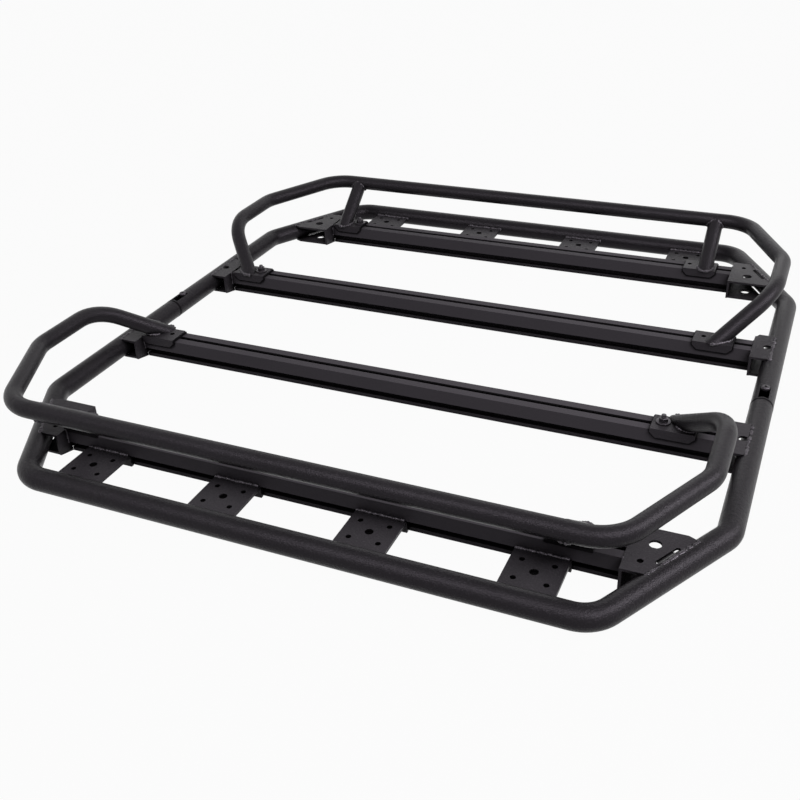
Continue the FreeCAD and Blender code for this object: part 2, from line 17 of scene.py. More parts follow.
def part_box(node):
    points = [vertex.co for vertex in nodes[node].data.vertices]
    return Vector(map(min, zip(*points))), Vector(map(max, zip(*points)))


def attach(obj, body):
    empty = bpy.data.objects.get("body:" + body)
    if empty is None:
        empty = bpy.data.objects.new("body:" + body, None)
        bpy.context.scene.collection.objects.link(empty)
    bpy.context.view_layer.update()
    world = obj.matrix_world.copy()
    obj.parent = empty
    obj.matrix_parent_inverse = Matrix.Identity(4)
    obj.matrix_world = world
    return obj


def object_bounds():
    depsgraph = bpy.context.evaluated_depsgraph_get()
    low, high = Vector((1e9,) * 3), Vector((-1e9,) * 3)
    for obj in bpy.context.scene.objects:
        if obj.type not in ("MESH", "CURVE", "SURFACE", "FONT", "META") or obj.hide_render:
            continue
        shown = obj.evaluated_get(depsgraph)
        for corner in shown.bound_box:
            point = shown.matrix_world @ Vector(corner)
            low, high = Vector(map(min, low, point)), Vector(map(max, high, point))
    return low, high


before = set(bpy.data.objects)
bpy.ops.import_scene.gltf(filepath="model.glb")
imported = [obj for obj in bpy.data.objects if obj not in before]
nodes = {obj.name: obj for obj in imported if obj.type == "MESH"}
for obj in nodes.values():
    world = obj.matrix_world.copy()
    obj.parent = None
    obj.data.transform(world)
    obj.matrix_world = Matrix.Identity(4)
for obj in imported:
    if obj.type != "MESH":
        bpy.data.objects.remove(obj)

cad_low, cad_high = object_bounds()
MM = 0.001
print("frame:", len(nodes), "nodes, box", [round(v, 4) for v in cad_high - cad_low])


# %% [markdown]
# ## The camera
# The photograph looks down at the rack from its front right corner. The place, the turn and the
# lens were solved from the ring, the bars and the rails together, so they are written here as they
# came out. The picture is square, so one sensor width serves both ways.

# %% Camera
SENSOR = 36.0
LENS = 45.465
CAMERA_PLACE = (0.65489, -1.59054, 0.93055)
CAMERA_TURN = (59.3063, 2.2442, 23.6004)
SEEN_FROM = 0.05
SEEN_TO = 60.0

eye_data = bpy.data.cameras.new("eye")
eye_data.sensor_width = SENSOR
eye_data.lens = LENS
eye_data.clip_start = SEEN_FROM
eye_data.clip_end = SEEN_TO
eye = bpy.data.objects.new("eye", eye_data)
eye.location = CAMERA_PLACE
eye.rotation_euler = [math.radians(a) for a in CAMERA_TURN]
bpy.context.scene.collection.objects.link(eye)
bpy.context.scene.camera = eye
bpy.context.scene.view_settings.view_transform = "Standard"
print("camera", CAMERA_PLACE, "lens", LENS)


# %% [markdown]
# ## Writing shaders as sums
# A finish is easier to read as arithmetic than as boxes and strings. The class below holds one
# socket of a material. Adding, subtracting or multiplying two of them adds a Math node, and every
# other node comes from one method that takes its type, its settings and what feeds its sockets.

# %% A socket that does arithmetic
class Wire:
    """One socket in a node tree; arithmetic on it adds Math nodes."""

    def __init__(self, tree, socket=None):
        self.tree = tree
        self.socket = socket

    def node(self, kind, settings=None, feeds=None, out=0):
        """Adds a node, sets it up, feeds its sockets and gives one of its outputs."""
        made = self.tree.nodes.new(kind)
        for name, value in (settings or {}).items():
            if name == "stops":
                ramp = made.color_ramp
                while len(ramp.elements) < len(value):
                    ramp.elements.new(0.5)
                for stop, (place, tone) in zip(ramp.elements, value):
                    stop.position = place
                    stop.color = (tone, tone, tone, 1.0)
            else:
                setattr(made, name, value)
        for name, value in (feeds or {}).items():
            plug = made.inputs[name]
            if isinstance(value, Wire):
                self.tree.links.new(value.socket, plug)
            else:
                plug.default_value = value
        return Wire(self.tree, made.outputs[out] if made.outputs else None)

    def maths(self, operation, first, second):
        return self.node("ShaderNodeMath", {"operation": operation}, {0: first, 1: second})

    def __add__(self, other):
        return self.maths("ADD", self, other)

    def __radd__(self, other):
        return self.maths("ADD", other, self)

    def __sub__(self, other):
        return self.maths("SUBTRACT", self, other)

    def __rsub__(self, other):
        return self.maths("SUBTRACT", other, self)

    def __mul__(self, other):
        return self.maths("MULTIPLY", self, other)

    def __rmul__(self, other):
        return self.maths("MULTIPLY", other, self)


def new_finish(name):
    """An empty material and the wire its nodes hang on."""
    material = bpy.data.materials.new(name)
    material.use_nodes = True
    material.node_tree.nodes.clear()
    return material, Wire(material.node_tree)


VIOLET_CAST = (1.06, 0.95, 1.10)


def tone(level):
    """A black or grey with the slight violet cast of the coat."""
    return tuple(level * share for share in VIOLET_CAST) + (1.0,)


# %% [markdown]
# ## The black coat
# The steel wears a textured powder coat: black, half matt, with a grain of about two millimetres
# that breaks up the light on a tube. A picture of the coat would bring its own light along, so the
# coat is built from noise. Two noises give the grain its height, and a slow one lets the black drift
# a little. An Ambient Occlusion node finds slots and inner corners, and the colour there is taken
# near black as painted shade. A Bevel node rounds the sheet edges, which then catch light as sprayed
# edges do. Bars, sheet pieces, tubes, welds and bolts each have their own mix of the same coat.

# %% How the coat is mixed
# Painted shade in slots and inner corners: how far the Ambient Occlusion looks, the near-black colour
# it paints there, and its ramp.
PAINTED_SHADE_REACH = 22.0 * MM
PAINTED_SHADE_LEVEL = 0.001
PAINTED_SHADE_STOPS = [(0.42, 0.03), (0.9, 1.0)]
SPECK_STOPS = [(0.56, 0.0), (0.72, 1.0)]
DRIFT_SCALE = 9.0
DRIFT_SHARE = 0.4
PEEL_SCALE = 0.35
GRAIN_SHARE = 0.6
ROUGH_SWING = 0.16
TINT_LEVEL = 0.94


def coat(name, dark, pale, rough, grain_size, grain_depth, edge, gloss):
    """A sprayed black coat; sizes in metres."""
    material, w = new_finish(name)
    place = w.node("ShaderNodeTexCoord", out=3)

    def noise(scale, detail):
        return w.node("ShaderNodeTexNoise", feeds={"Vector": place, "Scale": scale, "Detail": detail})

    grain = noise(1 / grain_size, 3.0)
    peel = noise(PEEL_SCALE / grain_size, 2.0)
    drift = noise(DRIFT_SCALE, 3.0)
    specks = w.node("ShaderNodeValToRGB", {"stops": SPECK_STOPS}, {0: grain})
    # Painted shade: where the Ambient Occlusion finds a slot or inner corner, the colour is mixed to
    # near black.
    open_air = w.node("ShaderNodeAmbientOcclusion", {"samples": 6}, {"Distance": PAINTED_SHADE_REACH}, out=1)
    outside_painted_shade = w.node("ShaderNodeValToRGB", {"stops": PAINTED_SHADE_STOPS}, {0: open_air})
    paler = (drift * DRIFT_SHARE + specks * (1 - DRIFT_SHARE)) * outside_painted_shade
    colour = w.node("ShaderNodeMix", {"data_type": "RGBA"},
                    {0: paler, 6: tone(dark), 7: tone(pale)}, out=2)
    colour = w.node("ShaderNodeMix", {"data_type": "RGBA"},
                    {0: 1 - outside_painted_shade, 6: colour, 7: tone(PAINTED_SHADE_LEVEL)}, out=2)
    roughness = rough - ROUGH_SWING / 2 + grain * ROUGH_SWING
    rounded = w.node("ShaderNodeBevel", {"samples": 4}, {"Radius": edge})
    height = grain * GRAIN_SHARE + peel * (1 - GRAIN_SHARE)
    bumps = {"Strength": 1.0, "Distance": grain_depth, "Height": height, "Normal": rounded}
    normal = w.node("ShaderNodeBump", feeds=bumps)
    skin = {"Base Color": colour, "Roughness": roughness, "Normal": normal,
            "Specular IOR Level": gloss, "Specular Tint": tone(TINT_LEVEL)}
    shader = w.node("ShaderNodeBsdfPrincipled", feeds=skin)
    w.node("ShaderNodeOutputMaterial", feeds={"Surface": shader})
    return material


# %% The coats and who wears them
GRAIN = 2.0 * MM
frame_coat = coat("frame_coat_black", dark=0.005, pale=0.020, rough=0.30, grain_size=GRAIN,
                  grain_depth=1.1 * MM, edge=0.6 * MM, gloss=0.12)
sheet_coat = coat("sheet_coat_black", dark=0.015, pale=0.036, rough=0.30, grain_size=GRAIN,
                  grain_depth=0.9 * MM, edge=0.6 * MM, gloss=0.09)
bar_coat = coat("bar_coat_black", dark=0.035, pale=0.050, rough=0.46, grain_size=0.6 * GRAIN,
                grain_depth=0.1 * MM, edge=0.5 * MM, gloss=0.04)
bead_coat = coat("bead_black", dark=0.020, pale=0.038, rough=0.33, grain_size=GRAIN,
                 grain_depth=0.5 * MM, edge=0.3 * MM, gloss=0.42)
bolt_coat = coat("bolt_black", dark=0.008, pale=0.018, rough=0.34, grain_size=0.4 * GRAIN,
                 grain_depth=0.05 * MM, edge=0.3 * MM, gloss=0.5)
# Near black and dull: the inner sleeves and the nuts, and also the painted shade under the feet and at
# the seams.
sleeve_and_shade_coat = coat("sleeve_and_shade_black", dark=0.002, pale=0.004, rough=0.70, grain_size=GRAIN,
                   grain_depth=0.1 * MM, edge=0.3 * MM, gloss=0.05)


def coat_of(name):
    """Bars are the smoothest, sheet pieces a little paler than tubes, and the inner sleeves dull."""
    if name.startswith("crossbar"):
        return bar_coat
    if name.startswith("splice"):
        return sleeve_and_shade_coat
    if name.startswith(("arm", "corner", "tab")) or "_foot_" in name:
        return sheet_coat
    return frame_coat


for name, solid in nodes.items():
    solid.data.materials.clear()
    solid.data.materials.append(coat_of(name))
print("coats:", len(bpy.data.materials))


# %% [markdown]
# ## Reading places from the frame
# Every added piece sits on a solid, so its place is read from that solid and not typed in. A box
# gives the corners of a plate. The corner points of a mesh give more: the lowest ring of points of
# a rail is the edge that its weld follows.

# %% Places on the solids
BARS = {number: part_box("crossbar_%d" % number) for number in (1, 2, 3, 4)}


def middle(box, axis):
    return (box[0][axis] + box[1][axis]) / 2


def points_of(node, keep):
    """The corner points of a solid that pass a test."""
    spots = [v.co.copy() for v in nodes[node].data.vertices]
    return [p for p in spots if keep(p)]


SLICE_DEGREES = 8


def around(spots):
    """A closed edge in order around its middle: the outermost point of each narrow slice."""
    centre = sum(spots, Vector()) / len(spots)
    best = {}
    for p in spots:
        out = (p - centre).to_2d()
        number = int(math.degrees(math.atan2(out.y, out.x)) // SLICE_DEGREES)
        if number not in best or out.length > (best[number] - centre).to_2d().length:
            best[number] = p
    return [best[number] for number in sorted(best)]


print("bars stand at y =", [round(middle(b, 1), 4) for b in BARS.values()])


# %% [markdown]
# ## Tools for modelled pieces
# A modelled piece starts as a primitive at its size and place and is shaped in edit mode. These
# helpers start a piece, pick its faces by where they look, copy it to its places and hand it over
# to the frame with its finish.

# %% Helpers for shaping
SAME_POINT = 1e-6
ROUNDED_FROM = math.radians(40)
SMOOTH_UP_TO = math.radians(35)


def start(add, **settings):
    """Deselects all, adds a primitive and gives the new object."""
    bpy.ops.object.select_all(action="DESELECT")
    add(**settings)
    return bpy.context.active_object


def pick_faces(test):
    """In edit mode: selects the faces whose middle and normal pass a test."""
    bpy.ops.mesh.select_all(action="DESELECT")
    bpy.ops.object.mode_set(mode="OBJECT")
    mesh = bpy.context.active_object.data
    for face in mesh.polygons:
        face.select = bool(test(face.center, face.normal))
    bpy.ops.object.mode_set(mode="EDIT")


def edit():
    """Goes into edit mode, where faces are picked."""
    bpy.ops.object.mode_set(mode="EDIT")
    bpy.ops.mesh.select_mode(type="FACE")


def close_up(piece, bevel=0.0):
    """Leaves edit mode, turns the normals outward and rounds the edges a little."""
    bpy.ops.mesh.select_all(action="SELECT")
    bpy.ops.mesh.remove_doubles(threshold=SAME_POINT)
    bpy.ops.mesh.normals_make_consistent(inside=False)
    bpy.ops.object.mode_set(mode="OBJECT")
    if bevel:
        rounding = piece.modifiers.new("rounding", "BEVEL")
        rounding.width = bevel
        rounding.segments = 2
        rounding.limit_method = "ANGLE"
        rounding.angle_limit = ROUNDED_FROM
        bpy.ops.object.modifier_apply(modifier=rounding.name)


# %% Helpers for placing and dressing
def copies(name, pattern, places, finish, turns=None):
    """One mesh with a copy of a pattern at each place; the pattern itself goes."""
    verts = []
    faces = []
    for i, place in enumerate(places):
        turn = Matrix.Rotation(turns[i] if turns else 0.0, 4, "Z")
        shift = len(verts)
        verts += [turn @ v.co + Vector(place) for v in pattern.data.vertices]
        faces += [[shift + k for k in p.vertices] for p in pattern.data.polygons]
    mesh = bpy.data.meshes.new(name)
    mesh.from_pydata(verts, [], faces)
    mesh.update()
    piece = bpy.data.objects.new(name, mesh)
    bpy.context.scene.collection.objects.link(piece)
    bpy.data.objects.remove(pattern)
    dress(piece, finish)
    return piece


def dress(piece, finish):
    """Finish, shading and a ride on the frame."""
    piece.data.materials.clear()
    piece.data.materials.append(finish)
    bpy.ops.object.select_all(action="DESELECT")
    piece.select_set(True)
    bpy.context.view_layer.objects.active = piece
    bpy.ops.object.shade_smooth_by_angle(angle=SMOOTH_UP_TO)
    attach(piece, "root")
    print(piece.name, len(piece.data.polygons), "faces")


# %% [markdown]
# ## Bolts on the feet
# Half of the feet are held by a hexagon nut on a stud that comes up out of the bar's slot, with a
# wide washer under it. The others show only their dark hole, so they stay as they are. The nut
# starts as a six-sided cylinder, whose top is inset and lifted into a chamfer. The stud is a thinner
# cylinder, whose top is extruded in steps that shrink and widen by turns. A true screw thread would
# cost thousands of faces for a detail of a millimetre.

# %% Nut on a stud, with washer
WASHER_R = 12.0 * MM
WASHER_T = 2.2 * MM
NUT_R = 8.2 * MM
NUT_H = 6.8 * MM
WASHER_RIM = 0.35 * WASHER_R
WASHER_CROWN = 0.3 * MM
WASHER_ROUND = 0.4 * MM
NUT_CHAMFER = 0.9 * MM
NUT_CROWN = 0.7 * MM
STUD_R = 4.0 * MM
STUD_UP = 5.0 * MM
THREADS = 4
STUD_ROUND = 0.2 * MM
THREAD_WAIST = 0.88
NEAR_TOP = 0.97
UPWARD = 0.9


def looks_up(level):
    """A test for faces that look up and lie above a level."""
    return lambda middle_point, normal: normal.z > UPWARD and middle_point.z > level


def washer():
    disc = start(bpy.ops.mesh.primitive_cylinder_add, vertices=40, radius=WASHER_R, depth=WASHER_T,
                 location=(0, 0, WASHER_T / 2))
    bpy.ops.object.transform_apply()
    edit()
    pick_faces(looks_up(WASHER_T * NEAR_TOP))
    bpy.ops.mesh.inset(thickness=WASHER_RIM)
    bpy.ops.transform.translate(value=(0, 0, WASHER_CROWN))
    close_up(disc, WASHER_ROUND)
    return disc


def nut_on_stud():
    nut = start(bpy.ops.mesh.primitive_cylinder_add, vertices=6, radius=NUT_R, depth=NUT_H,
                location=(0, 0, WASHER_T + NUT_H / 2))
    bpy.ops.object.transform_apply()
    edit()
    pick_faces(looks_up(WASHER_T + NUT_H * NEAR_TOP))
    bpy.ops.mesh.inset(thickness=NUT_CHAMFER)
    bpy.ops.transform.translate(value=(0, 0, NUT_CROWN))
    bpy.ops.object.mode_set(mode="OBJECT")
    rod = start(bpy.ops.mesh.primitive_cylinder_add, vertices=20, radius=STUD_R, depth=WASHER_T + NUT_H,
                location=(0, 0, (WASHER_T + NUT_H) / 2))
    bpy.ops.object.transform_apply()
    edit()
    pick_faces(looks_up(NUT_H))
    for _ in range(THREADS):
        for width in (THREAD_WAIST, 1 / THREAD_WAIST):
            rise = (0, 0, STUD_UP / (2 * THREADS))
            bpy.ops.mesh.extrude_region_move(TRANSFORM_OT_translate={"value": rise})
            bpy.ops.transform.resize(value=(width, width, 1))
    close_up(rod, STUD_ROUND)
    return nut, rod


def join(*pieces):
    bpy.ops.object.select_all(action="DESELECT")
    for piece in pieces:
        piece.select_set(True)
    bpy.context.view_layer.objects.active = pieces[0]
    bpy.ops.object.join()
    return pieces[0]


# %% Nuts on four of the feet
LEG_BOLT_IN = 17.0 * MM
POST_BOLT_IN = 10.0 * MM
FIRST_TURN = 11
NEXT_TURN = 17


def bolt_spot(foot_name, bar_number, inset):
    """On the bar's centre line, a little in from the foot's inner end."""
    low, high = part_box(foot_name)
    inner = low.x + inset if foot_name.endswith("right") else high.x - inset
    return (inner, middle(BARS[bar_number], 1), high.z)


held_feet = [("leg_foot_front_right", 3, LEG_BOLT_IN), ("leg_foot_rear_left", 2, LEG_BOLT_IN),
             ("post_foot_rear_left", 1, POST_BOLT_IN), ("post_foot_front_left", 4, POST_BOLT_IN)]
stud_spots = [bolt_spot(*foot) for foot in held_feet]
stud_turns = [math.radians(FIRST_TURN + NEXT_TURN * i) for i in range(len(stud_spots))]
copies("foot_nuts", join(washer(), *nut_on_stud()), stud_spots, bolt_coat, turns=stud_turns)


# %% [markdown]
# ## Painted shade under the feet
# A thin near-black sheet lies between each foot and its bar and shows as a dark line below the foot's
# lip and beside its ends. It is painted shade that stands for the shadow the lip casts on the bar.
# It has the foot's own shape, so a copy of the foot is widened a little, pushed back against the bar
# and down, until only that line looks out.

# %% Painted shade under the feet
SHADE_OUT = 1.6 * MM
SHADE_BACK = 1.6 * MM
SHADE_DOWN = 2.6 * MM


def pad(foot_name):
    """A copy of a foot, a little wider, set back against the bar and down, as painted shade."""
    low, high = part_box(foot_name)
    copy = bpy.data.objects.new(foot_name + "_pad", nodes[foot_name].data.copy())
    bpy.context.scene.collection.objects.link(copy)
    bpy.ops.object.select_all(action="DESELECT")
    copy.select_set(True)
    bpy.context.view_layer.objects.active = copy
    edit()
    bpy.ops.mesh.select_all(action="SELECT")
    bpy.ops.mesh.remove_doubles(threshold=SAME_POINT)
    wider = 1 + 2 * SHADE_OUT / (high.x - low.x)
    bpy.ops.transform.resize(value=(wider, 1, 1), center_override=(low + high) / 2)
    back = -1 if foot_name.startswith("post_foot_front") else 1
    bpy.ops.transform.translate(value=(0, back * SHADE_BACK, -SHADE_DOWN))
    bpy.ops.object.mode_set(mode="OBJECT")
    return copy


# Painted shade: the near-black sheets under the feet stand for the shadow below each lip.
foot_pads = join(*[pad(name) for name in nodes if "_foot_" in name])
foot_pads.name = "foot_pads"
dress(foot_pads, sleeve_and_shade_coat)


# %% [markdown]
# ## Bolts in the ports
# Beside each seam of the ring a bolt sits in a cut port. Its button head is a short cylinder whose
# top edge is bevelled round into a dome. Its socket starts as an inset of the top face. The points
# of that inset are then drawn onto a hexagon, which a round ring can follow because a hexagon's
# radius is a simple formula of the angle, and extruded down. A Boolean cut would do as well, but it
# leaves long thin faces on the dome.

# %% Button heads with a hexagon socket
DOME_SHARE = 0.5
SOCKET_RIM = 0.6 * MM
SOCKET_SHARE = 0.92


def hexagon(angle, flat):
    """Radius of a hexagon at an angle."""
    return flat / math.cos(angle % (math.pi / 3) - math.pi / 6)


def button_head(radius, height, flat):
    head = start(bpy.ops.mesh.primitive_cylinder_add, vertices=36, radius=radius, depth=height,
                 location=(0, 0, height / 2))
    bpy.ops.object.transform_apply()
    edit()
    pick_faces(looks_up(height * NEAR_TOP))
    bpy.ops.mesh.bevel(offset=DOME_SHARE * height, segments=5, affect="EDGES")
    pick_faces(looks_up(height * NEAR_TOP))
    bpy.ops.mesh.inset(thickness=SOCKET_RIM)
    bpy.ops.object.mode_set(mode="OBJECT")
    for face in head.data.polygons:
        if face.select:
            for number in face.vertices:
                v = head.data.vertices[number]
                angle = math.atan2(v.co.y, v.co.x)
                reach = hexagon(angle, flat)
                v.co.x = reach * math.cos(angle)
                v.co.y = reach * math.sin(angle)
    bpy.ops.object.mode_set(mode="EDIT")
    down = (0, 0, -SOCKET_SHARE * height)
    bpy.ops.mesh.extrude_region_move(TRANSFORM_OT_translate={"value": down})
    close_up(head)
    return head


# %% Bolts at the two seams
PORT_HEAD_R = 7.5 * MM
PORT_HEAD_H = 6.0 * MM
PORT_HEAD_DROP = 3.5 * MM
PORT_SOCKET = 2.4 * MM
PORT_END = 12.0 * MM
ring_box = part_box("ring_rear")
splice_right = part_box("splice_right")
splice_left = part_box("splice_left")
port_level = ring_box[1].z - PORT_HEAD_DROP
port_spots = [(middle(sleeve, 0), PORT_END, port_level) for sleeve in (splice_right, splice_left)]
copies("port_bolts", button_head(PORT_HEAD_R, PORT_HEAD_H, PORT_SOCKET), port_spots, bolt_coat)


# %% [markdown]
# ## Nuts under the tabs
# The five holes of each tab look black because a nut is welded below each of them, the largest one
# below the middle hole. A ring of points at the bore is extruded outwards, drawn onto a hexagon,
# taken down and led back in, which closes the nut without a cut. The middle hole is found by its
# rim, the points of the tab's top that lie near its middle line and away from its edges.

# %% Weld nuts
def weld_nut(bore, flat, height):
    ring = start(bpy.ops.mesh.primitive_circle_add, vertices=24, radius=bore)
    edit()
    bpy.ops.mesh.select_mode(type="EDGE")
    bpy.ops.mesh.select_all(action="SELECT")
    steps = ((flat, 0.0, True), (0.0, -height, True), (bore, 0.0, False), (0.0, height, False))
    for reach, drop, six_sided in steps:
        bpy.ops.mesh.extrude_edges_move(TRANSFORM_OT_translate={"value": (0, 0, drop)})
        bpy.ops.object.mode_set(mode="OBJECT")
        for v in ring.data.vertices:
            if v.select and reach:
                angle = math.atan2(v.co.y, v.co.x)
                far = hexagon(angle, reach) if six_sided else reach
                v.co.x = far * math.cos(angle)
                v.co.y = far * math.sin(angle)
        bpy.ops.object.mode_set(mode="EDIT")
    close_up(ring)
    return ring


# %% Nuts at the tabs' holes
PLATE_T = 5.5 * MM
HOLE_X = 23.5 * MM
HOLE_Y = 20.5 * MM
HOLE_REACH = 7.0 * MM
EDGE_AWAY = 25.0 * MM
TOP_SKIN = 0.2 * MM
NUT_BORE = 4.2 * MM
NUT_FLAT = 8.5 * MM
NUT_DEEP = 8.0 * MM
SMALL_BORE = 0.75 * NUT_BORE
SMALL_FLAT = 6.0 * MM
SMALL_DEEP = 9.0 * MM


def middle_hole(tab):
    """The middle of a tab's large hole, at the underside of its plate."""
    low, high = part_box(tab)
    centre_x = middle((low, high), 0)
    top = points_of(tab, lambda p: p.z > high.z - TOP_SKIN)
    near = [p for p in top if abs(p.x - centre_x) < HOLE_REACH]
    rim = [p.y for p in near if min(abs(p.y - low.y), abs(p.y - high.y)) > EDGE_AWAY]
    return Vector((centre_x, (min(rim) + max(rim)) / 2, high.z - PLATE_T))


TABS = [(end, number) for end in ("front", "rear") for number in (1, 2, 3, 4)]
nut_spots = [middle_hole("tab_%s_%d" % tab) for tab in TABS]
small_spots = [hole + Vector((HOLE_X * a, HOLE_Y * b, 0))
               for hole in nut_spots for a in (1, -1) for b in (1, -1)]
copies("tab_weld_nuts", weld_nut(NUT_BORE, NUT_FLAT, NUT_DEEP), nut_spots, sleeve_and_shade_coat)
copies("tab_corner_nuts", weld_nut(SMALL_BORE, SMALL_FLAT, SMALL_DEEP), small_spots, sleeve_and_shade_coat)


# %% [markdown]
# ## Webs below the brackets
# The wall of each bracket that carries a bar reaches down beside the bar's toe in a small web. A
# block is set below the wall, from its outer corner to the toe, and the outer lower edge is lifted
# until the block is a wedge. That takes one move, where an outline would have to be drawn and
# extruded.

# %% Webs
TOE_BACK = 6.0 * MM
WALL_T = 4.0 * MM
ON_WALL = 0.6 * MM
AT_CORNER = 1.0 * MM
WEB_EDGE = 0.8 * MM
WEB_ROUND = 0.6 * MM


def bar_of(bracket):
    """The bar a bracket carries, the end of it that the bracket holds, and the hand."""
    hand = 1 if bracket.endswith("right") else -1
    number = int(bracket[4]) if bracket.startswith("arm") else (1 if "rear" in bracket else 4)
    bar = BARS[number]
    return bar, bar[1].x if hand > 0 else bar[0].x, hand


def web(bracket, side):
    """A wedge below one side of a bracket's wall."""
    bar, bar_end, hand = bar_of(bracket)
    wall = points_of(bracket, lambda p: abs(p.x - bar_end) < ON_WALL)
    foot_z = min(p.z for p in wall)
    corner = min(p.y for p in wall) if side < 0 else max(p.y for p in wall)
    toe = bar[0].y + TOE_BACK if side < 0 else bar[1].y - TOE_BACK
    block = start(bpy.ops.mesh.primitive_cube_add, size=1.0,
                  location=(bar_end + hand * WALL_T / 2, (corner + toe) / 2, (bar[0].z + foot_z) / 2))
    block.scale = (WALL_T, abs(toe - corner), foot_z - bar[0].z)
    bpy.ops.object.transform_apply()
    edit()
    bpy.ops.mesh.select_mode(type="VERT")
    bpy.ops.mesh.select_all(action="DESELECT")
    bpy.ops.object.mode_set(mode="OBJECT")
    for v in block.data.vertices:
        v.select = v.co.z < foot_z - AT_CORNER and abs(v.co.y - corner) < AT_CORNER
    bpy.ops.object.mode_set(mode="EDIT")
    bpy.ops.transform.translate(value=(0, 0, foot_z - bar[0].z - WEB_EDGE))
    close_up(block, WEB_ROUND)
    return block


brackets = [n for n in nodes if n.startswith(("arm_", "corner_"))]
webs = join(*[web(name, side) for name in brackets for side in (-1, 1)])
webs.name = "bracket_webs"
dress(webs, sheet_coat)


# %% [markdown]
# The pin hole of each corner plate is as black as the tabs' holes, so it has its nut as well. The
# hole is placed from the end and the middle line of the bar.

# %% Nuts under the corners
PIN_X = 23.0 * MM
PIN_Y = 19.3 * MM
PIN_FLAT = 6.5 * MM
pin_spots = []
for bracket in [n for n in brackets if n.startswith("corner")]:
    bar, bar_end, hand = bar_of(bracket)
    side = 1 if "rear" in bracket else -1
    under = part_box(bracket)[1].z - WALL_T
    pin_spots.append((bar_end + hand * PIN_X, middle(bar, 1) + side * PIN_Y, under))
copies("corner_nuts", weld_nut(SMALL_BORE, PIN_FLAT, SMALL_DEEP), pin_spots, sleeve_and_shade_coat)


# %% [markdown]
# ## Painted shade at the seams
# The two halves of the ring meet over the sleeves. A near-black band over each gap is painted shade:
# it stands for the shadow in the seam and shows as a dark ring. It starts as a circle round the tube,
# because a cylinder would have closed ends, is drawn out along the tube and given its thickness by a
# Solidify modifier.

# %% Seam bands
BAND_W = 4.5 * MM
BAND_T = 0.8 * MM
BAND_SUNK = 0.6 * MM
TUBE_R = 19.0 * MM


def band(sleeve):
    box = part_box(sleeve)
    seam_y = (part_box("ring_front")[1].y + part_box("ring_rear")[0].y) / 2
    begin = (middle(box, 0), seam_y - BAND_W / 2, middle(box, 2))
    ring = start(bpy.ops.mesh.primitive_circle_add, vertices=64, radius=TUBE_R - BAND_SUNK,
                 location=begin, rotation=(math.pi / 2, 0, 0))
    bpy.ops.object.transform_apply()
    edit()
    bpy.ops.mesh.select_mode(type="EDGE")
    bpy.ops.mesh.select_all(action="SELECT")
    bpy.ops.mesh.extrude_edges_move(TRANSFORM_OT_translate={"value": (0, BAND_W, 0)})
    bpy.ops.mesh.select_all(action="SELECT")
    bpy.ops.mesh.normals_make_consistent(inside=False)
    bpy.ops.object.mode_set(mode="OBJECT")
    wall = ring.modifiers.new("wall", "SOLIDIFY")
    wall.thickness = BAND_T
    wall.offset = 1.0
    bpy.ops.object.modifier_apply(modifier=wall.name)
    return ring


# Painted shade: the near-black bands stand for the shadow in the seams of the ring.
bands = join(band("splice_right"), band("splice_left"))
bands.name = "seam_painted_shade"
dress(bands, sleeve_and_shade_coat)


# %% [markdown]
# ## Weld beads
# Tube and sheet are joined by hand welds under the coat. A bead is a row of small overlapping lens
# shapes, one for each dab of the torch, and a plain swept cord would look too even for it. One lens
# is modelled and copied along each seam with a little jitter, and a voxel remesh melts the row into
# one skin, which a few smoothing passes soften.

# %% One dab, and its places along a seam
DAB_PITCH = 4.0 * MM
DAB_SHAPE = (0.7, 1.0, 0.9)
DAB_LEAST = 0.75
DAB_MOST = 1.3
SHAKE = 0.12
SKIN = 0.9 * MM
SOFTENING = 0.5
SOFT_PASSES = 4
random.seed(11)


def dab(radius):
    lump = start(bpy.ops.mesh.primitive_ico_sphere_add, subdivisions=2, radius=radius)
    edit()
    bpy.ops.mesh.select_all(action="SELECT")
    bpy.ops.transform.resize(value=DAB_SHAPE)
    bpy.ops.object.mode_set(mode="OBJECT")
    return lump


def stations(path, closed):
    """Evenly spaced points along a seam, each with the seam's heading."""
    stops = list(path) + ([path[0]] if closed else [])
    spots = []
    left = 0.0
    for a, b in zip(stops, stops[1:]):
        way = b - a
        while left <= way.length:
            spots.append((a + way.normalized() * left, math.atan2(way.y, way.x)))
            left += DAB_PITCH
        left -= way.length
    return spots


# %% A bead from its dabs
def bead(name, seams, radius, closed=False):
    """Welds a list of seams into one piece."""
    lump = dab(radius)
    verts = []
    faces = []
    for seam in seams:
        for spot, heading in stations(seam, closed):
            size = random.uniform(DAB_LEAST, DAB_MOST)
            shake = Vector([random.uniform(-SHAKE, SHAKE) * radius for _ in range(3)])
            turn = Matrix.Rotation(heading, 4, "Z")
            place = Matrix.Translation(spot + shake) @ turn @ Matrix.Scale(size, 4)
            shift = len(verts)
            verts += [place @ v.co for v in lump.data.vertices]
            faces += [[shift + k for k in p.vertices] for p in lump.data.polygons]
    mesh = bpy.data.meshes.new(name)
    mesh.from_pydata(verts, [], faces)
    piece = bpy.data.objects.new(name, mesh)
    bpy.context.scene.collection.objects.link(piece)
    bpy.data.objects.remove(lump)
    bpy.ops.object.select_all(action="DESELECT")
    piece.select_set(True)
    bpy.context.view_layer.objects.active = piece
    melt = piece.modifiers.new("melt", "REMESH")
    melt.mode = "VOXEL"
    melt.voxel_size = SKIN
    bpy.ops.object.modifier_apply(modifier=melt.name)
    soften = piece.modifiers.new("soften", "SMOOTH")
    soften.factor = SOFTENING
    soften.iterations = SOFT_PASSES
    bpy.ops.object.modifier_apply(modifier=soften.name)
    dress(piece, bead_coat)
    bpy.ops.object.shade_smooth()
    return piece


